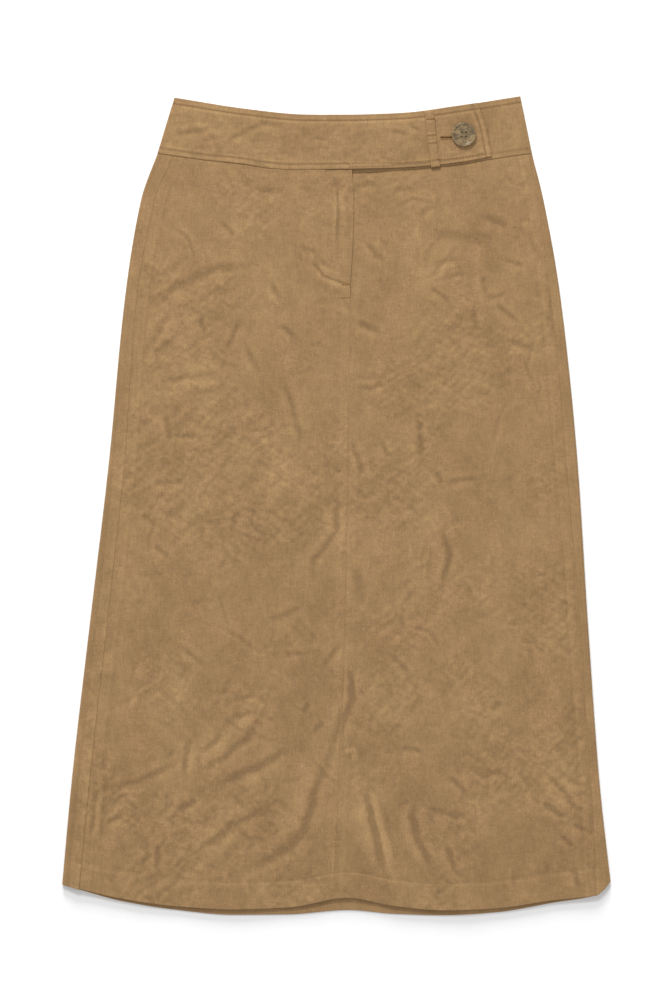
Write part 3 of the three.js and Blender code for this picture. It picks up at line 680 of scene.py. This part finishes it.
bandBack = bandPiece("bandBackCloth", bandLeft, bandRight, backFoot, lambda x: cloth["bandBack"] + 0 * x,
                     lambda x, y: 0.5 * backRelief(x, y) * smooth((bandTop(x) - y) / 8), 380)
bandLeftFront = bandPiece("bandLeftCloth", lambda y: 1.0 + 0 * y, bandRight, leftFoot,
                          lambda x: cloth["band"] - 1.0 * smooth((66 - x) / 40),
                          lambda x, y: 0.4 * bandRelief(x, y), 196)
bandRightFront = bandPiece("bandTabCloth", bandLeft, tabEdge, rightFoot,
                           lambda x: cloth["band"] + tabLift(x), bandRelief, 338)
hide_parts("waistband_back")
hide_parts("waistband_left_front")
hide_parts("waistband_right_front_tab")
print("waistband made")


def frontTop(x, y):  # height of the right front's face
    return cloth["front"] + cloth["thick"] / 2 + frontRelief(x, y) + flyLift(x, y)


def tabTop(x, y):  # height of the face of the right front's band and tab
    return cloth["band"] + tabLift(x) + cloth["bandThick"] / 2 + bandRelief(x, y)


def leftBandTop(x, y):
    return cloth["band"] + cloth["bandThick"] / 2 + 0.4 * bandRelief(x, y)


# stitching
stitch = {"length": 2.0, "pitch": 3.3, "radius": 0.36, "sides": 6}


def walk(points, pitch):  # even steps along a line of points, with the direction at each
    points = np.array(points, float)
    steps = np.linalg.norm(np.diff(points, axis=0), axis=1)
    far = np.r_[0, np.cumsum(steps)]
    at = np.arange(pitch / 2, far[-1], pitch)
    spots = np.stack([np.interp(at, far, points[:, i]) for i in (0, 1)], axis=-1)
    ahead = np.stack([np.interp(at + 0.5, far, points[:, i]) for i in (0, 1)], axis=-1)
    behind = np.stack([np.interp(at - 0.5, far, points[:, i]) for i in (0, 1)], axis=-1)
    way = ahead - behind
    return spots, way / np.linalg.norm(way, axis=1, keepdims=True)


def stitchRow(name, runs, material=topThread):  # each run: points, height of the face, length, pitch, radius
    points, faces = [], []
    turns = np.linspace(0, 2 * math.pi, stitch["sides"], endpoint=False)
    for line, faceHeight, length, pitch, radius, across in runs:
        spots, ways = walk(line, pitch)
        if across:
            ways = np.stack([-ways[:, 1], ways[:, 0]], axis=-1)
        for (x, y), (dx, dy) in zip(spots, ways):
            base = len(points)
            for share, size in ((-0.5, 0.25), (-0.36, 0.85), (0, 1), (0.36, 0.85), (0.5, 0.25)):
                cx, cy = x + dx * length * share, y + dy * length * share
                cz = faceHeight(np.array(x), np.array(y)) - radius * (0.9 if abs(share) == 0.5 else 0.1)
                for a in turns:
                    off, up = math.cos(a) * radius * size, math.sin(a) * radius * size
                    points.append(((cx - dy * off) * mm, (cy + dx * off) * mm, float(cz + up) * mm))
            n = len(turns)
            for ring in range(4):
                for i in range(n):
                    a, b = base + ring * n + i, base + ring * n + (i + 1) % n
                    faces.append((a, b, b + n, a + n))
            faces.append(tuple(base + i for i in reversed(range(n))))
            faces.append(tuple(base + 4 * n + i for i in range(n)))
    piece = newPiece(name, points, faces, material)
    bm = bmesh.new()
    bm.from_mesh(piece.data)
    bmesh.ops.recalc_face_normals(bm, faces=bm.faces)
    bm.to_mesh(piece.data)
    bm.free()
    return piece


def line(xs, height):
    return [(x, float(height(np.array(float(x))))) for x in xs]


def run(points, faceHeight, length=stitch["length"], pitch=stitch["pitch"], radius=stitch["radius"],
        across=False):
    return (points, faceHeight, length, pitch, radius, across)


tabEndStitch = [(float(tabEdge(y)) - bandRows["tabEnd"], y) for y in np.linspace(369, 412, 12)]
stitchRow("bandTopstitching", [
    run(line(np.linspace(-170, 140, 60), lambda x: bandTop(x) - bandRows["top"]), tabTop),
    run(line(np.linspace(149, 190, 12), lambda x: bandTop(x) - bandRows["top"]), leftBandTop),
    run(line(np.linspace(-182, 155, 60), lambda x: rightFoot(x) + bandRows["foot"]), tabTop),
    run(line(np.linspace(164, 199, 12), lambda x: leftFoot(x) + bandRows["foot"]), leftBandTop),
    run(tabEndStitch, tabTop),
])
flyCurve = [(-23, 251.5), (-15, 240.5), (-4, 235.4), (7.5, 231.6), (13.5, 231.4)]
stitchRow("flyTopstitching", [
    run(flyCurve, frontTop, 2.2, 2.8, 0.24),
    run([(6, 229.6), (14, 229.8)], frontTop, 1.8, 0.45, 0.22, True),
    run([(1, 216.2), (14, 216.2)], frontTop, 1.3, 0.5, 0.2, True),
])
print("topstitching made")

# carrier loop that holds the tab
carrier = {"top": (95.6, 410.2), "foot": (102.4, 352.6), "length": 62, "width": 9.4,
           "thick": 1.2, "clear": 0.6}
# crimps across the loop: how far along, height (below 0 is a groove) and half width
crimps = [(24.5, 0.5, 1.2), (27.2, -0.4, 1.2), (33, 0.45, 1.3), (35.5, -0.35, 1.3), (14, 0.25, 3),
          (9.5, -0.35, 1.0), (54, -0.35, 1.0)]


def carrierLoop(name):
    us, vs = spread(carrier["width"], 0.9), spread(carrier["length"], 0.9)
    u, v = np.meshgrid(us, vs, indexing="ij")
    (x0, y0), (x1, y1) = carrier["top"], carrier["foot"]
    along = v * carrier["length"]
    t = np.clip(v, 0, 0.955) / 0.955
    cx, cy = x0 + (x1 - x0) * t, y0 + (y1 - y0) * t
    drop = smooth((v - 0.93) / 0.07)
    x = cx + (u - 0.5) * carrier["width"] + 0.35 * np.sin(along / 7.5) * (1 - drop)
    y = cy - 0.9 * drop + (u - 0.5) * 1.1
    z = cloth["tab"] + cloth["bandThick"] / 2 + carrier["clear"] + carrier["thick"] / 2 - 2.1 * drop
    for place, height, half in crimps:
        z = z + height * np.exp(-((along - place) / half) ** 2)
    z = z + 0.4 * np.sin(u * math.pi) - 0.2
    z = z - 0.9 * smooth((1.6 - along) / 1.6)
    piece = sheet(name, x, y, z, carrier["thick"] / 2, bandCloth, napAndShadeOf(z, 2))

    def loopTop(x, y):
        return cloth["tab"] + cloth["bandThick"] / 2 + carrier["clear"] + carrier["thick"] + 0 * x

    tacks = stitchRow("carrierTacks", [
        run([(94, 400.6), (102.4, 401.4)], loopTop, 1.5, 0.42, 0.2, True),
        run([(98.8, 358.8), (107, 359.8)], loopTop, 1.5, 0.42, 0.2, True)])
    return piece, tacks


loopPiece, loopTacks = carrierLoop("carrierCloth")
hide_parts("tab_carrier")
print("carrier loop made")

# button, modelled by hand from a disc
button = {"x": 132, "y": 385, "radius": 12.5, "thick": 3.4, "rim": 1.9, "dish": 1.1,
          "hole": 1.0, "spread": 2.2}


def pick(test):  # select the faces of the active object that pass
    bpy.ops.object.mode_set(mode="OBJECT")
    for part in ("vertices", "edges", "polygons"):
        for item in getattr(bpy.context.object.data, part):
            item.select = False
    for face in bpy.context.object.data.polygons:
        face.select = bool(test(face))
    bpy.ops.object.mode_set(mode="EDIT")


def makeButton(name):
    b = button
    base = cloth["tab"] + cloth["bandThick"] / 2 + 0.3
    middle = (b["x"] * mm, b["y"] * mm, (base + b["thick"] / 2) * mm)
    bpy.ops.object.select_all(action="DESELECT")
    bpy.ops.mesh.primitive_cylinder_add(vertices=96, radius=b["radius"] * mm, depth=b["thick"] * mm,
                                        location=middle)
    disc = bpy.context.object
    disc.name = name
    bpy.ops.object.transform_apply(location=True, rotation=True, scale=True)
    bpy.ops.object.mode_set(mode="EDIT")
    bpy.ops.mesh.select_mode(type="FACE")
    pick(lambda f: f.normal.z > 0.9)
    bpy.ops.mesh.inset(thickness=b["rim"] * mm, depth=0)
    bpy.ops.mesh.inset(thickness=0.9 * mm, depth=-b["dish"] * mm)
    bpy.ops.mesh.inset(thickness=3.2 * mm, depth=-0.15 * mm)
    pick(lambda f: f.normal.z < -0.9)
    bpy.ops.mesh.inset(thickness=2.2 * mm, depth=0.6 * mm)
    bpy.ops.object.mode_set(mode="OBJECT")
    soften = disc.modifiers.new("rim", "BEVEL")
    soften.width, soften.segments, soften.limit_method = 0.45 * mm, 4, "ANGLE"
    bpy.ops.object.modifier_apply(modifier="rim")
    for i in (-1, 1):
        for j in (-1, 1):
            spot = (middle[0] + i * b["spread"] * mm, middle[1] + j * b["spread"] * mm, middle[2])
            bpy.ops.object.select_all(action="DESELECT")
            bpy.ops.mesh.primitive_cylinder_add(vertices=24, radius=b["hole"] * mm, depth=8 * mm,
                                                location=spot)
            drill = bpy.context.object
            bpy.context.view_layer.objects.active = disc
            cut = disc.modifiers.new("hole", "BOOLEAN")
            cut.operation, cut.object, cut.solver = "DIFFERENCE", drill, "EXACT"
            bpy.ops.object.modifier_apply(modifier="hole")
            bpy.data.objects.remove(drill, do_unlink=True)
    disc.data.materials.clear()
    disc.data.materials.append(hornMaterial("hornLookPolyester", middle))
    bpy.ops.object.select_all(action="DESELECT")
    disc.select_set(True)
    bpy.context.view_layer.objects.active = disc
    bpy.ops.object.shade_smooth_by_angle(angle=math.radians(32))
    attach(disc, "root")
    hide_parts("button")
    return disc, base


buttonPiece, buttonBase = makeButton("hornButton")


def buttonThread(name):  # two parallel bars of thread through the holes
    b = button
    top = buttonBase + b["thick"] - b["dish"] - 0.15
    bars = []
    for j in (-1, 1):
        y = b["y"] + j * b["spread"]
        bars.append(run([(b["x"] - b["spread"], y), (b["x"] + b["spread"], y)],
                        lambda p, q: top + 0.15 + 0 * p, 2 * b["spread"] + 1.2, 2 * b["spread"], 0.42))
    return stitchRow(name, bars, threadMaterial("buttonThreadBrown", "#5E4A33", "#7C6446"))


buttonThread("buttonThread")

# buttonhole: a slit in the tab with close stitches along both sides
slit = {"left": 108, "right": 137, "y": 382, "width": 0.9}


def cutButtonhole(piece):
    depth = (cloth["tab"] + 0.5) * mm
    bpy.ops.object.select_all(action="DESELECT")
    middle = ((slit["left"] + slit["right"]) / 2 * mm, slit["y"] * mm, depth)
    bpy.ops.mesh.primitive_cube_add(size=1, location=middle)
    knife = bpy.context.object
    knife.scale = ((slit["right"] - slit["left"]) * mm, slit["width"] * mm, 5 * mm)
    bpy.ops.object.transform_apply(location=False, rotation=False, scale=True)
    bpy.context.view_layer.objects.active = piece
    cut = piece.modifiers.new("slit", "BOOLEAN")
    cut.operation, cut.object, cut.solver = "DIFFERENCE", knife, "EXACT"
    bpy.ops.object.modifier_apply(modifier="slit")
    bpy.data.objects.remove(knife, do_unlink=True)


cutButtonhole(bandRightFront)
edgeOff = slit["width"] / 2 + 0.85
stitchRow("buttonholeStitching", [
    run([(slit["left"] - 0.5, slit["y"] + s * edgeOff), (slit["right"], slit["y"] + s * edgeOff)],
        tabTop, 1.7, 0.55, 0.26, True) for s in (-1, 1)])
print("button and buttonhole made")

# the zip behind the fly keeps its CAD shape
zipTape = tapeMaterial("zipTapeWoven")
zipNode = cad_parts["fly_zip"]
zipObject = zipNode if isinstance(zipNode, bpy.types.Object) else bpy.data.objects["fly_zip"]
zipObject.data.materials.clear()
zipObject.data.materials.append(zipTape)
# floor, light and camera
studio = {"far": 3.0, "frame": 1.048, "middle": (-0.5, 2.0), "world": 0.66, "keyAngle": 38, "keyTurn": -14}


def makeFloor():
    bpy.ops.object.select_all(action="DESELECT")
    bpy.ops.mesh.primitive_plane_add(size=6, location=(0, 0, -0.0002))
    floor = bpy.context.object
    floor.name = "floor"
    material, tree = startMaterial("whitePaper")  # matt white sweep, a little brighter to the camera alone
    sight = addNode(tree, "ShaderNodeLightPath").outputs["Is Camera Ray"]
    paper = addNode(tree, "ShaderNodeBsdfDiffuse", inputs={"Color": (0.8, 0.8, 0.8, 1)})
    glow = addNode(tree, "ShaderNodeEmission", inputs={"Strength": 0.04})
    none = addNode(tree, "ShaderNodeEmission", inputs={"Strength": 0.0})
    seen = addNode(tree, "ShaderNodeMixShader", links={0: sight, 1: none.outputs[0], 2: glow.outputs[0]})
    both = addNode(tree, "ShaderNodeAddShader", links={0: paper.outputs[0], 1: seen.outputs[0]})
    addNode(tree, "ShaderNodeOutputMaterial", links={"Surface": both.outputs[0]})
    floor.data.materials.append(material)
    return floor


def makeLight(name, angle, turn, distance, size, share):
    # share is how much of the level light it gives a flat surface
    rise, swing = math.radians(angle), math.radians(turn)
    way = Vector((math.sin(swing) * math.cos(rise), math.cos(swing) * math.cos(rise), math.sin(rise)))
    data = bpy.data.lights.new(name, "AREA")
    data.size = size
    data.energy = share * math.pi ** 2 * distance ** 2 / math.sin(rise)
    lamp = bpy.data.objects.new(name, data)
    lamp.location = way * distance
    lamp.rotation_euler = (-way).to_track_quat("-Z", "Y").to_euler()
    scene.collection.objects.link(lamp)
    return lamp


def makeWorld():
    world = bpy.data.worlds.new("plainWorld")
    world.use_nodes = True
    tree = world.node_tree
    tree.nodes.clear()
    glow = addNode(tree, "ShaderNodeBackground", inputs={"Color": (1, 1, 1, 1), "Strength": studio["world"]})
    addNode(tree, "ShaderNodeOutputWorld", links={"Surface": glow.outputs[0]})
    scene.world = world


def makeCamera():
    data = bpy.data.cameras.new("camera")
    data.lens = data.sensor_width * studio["far"] / studio["frame"]
    camera = bpy.data.objects.new("camera", data)
    camera.location = (studio["middle"][0] * mm, studio["middle"][1] * mm, studio["far"])
    scene.collection.objects.link(camera)
    scene.camera = camera


floor = makeFloor()
makeLight("keyWindow", studio["keyAngle"], studio["keyTurn"], 4.5, 0.9, 0.34)
lowWindow = makeLight("lowWindow", 12, -3, 9, 3.2, 0.42)
onlyFloor = bpy.data.collections.new("onlyFloor")  # the low light only draws the hem's long soft shadow
onlyFloor.objects.link(floor)
lowWindow.light_linking.receiver_collection = onlyFloor
makeWorld()
makeCamera()
scene.view_settings.view_transform = "Standard"
print("stage set")
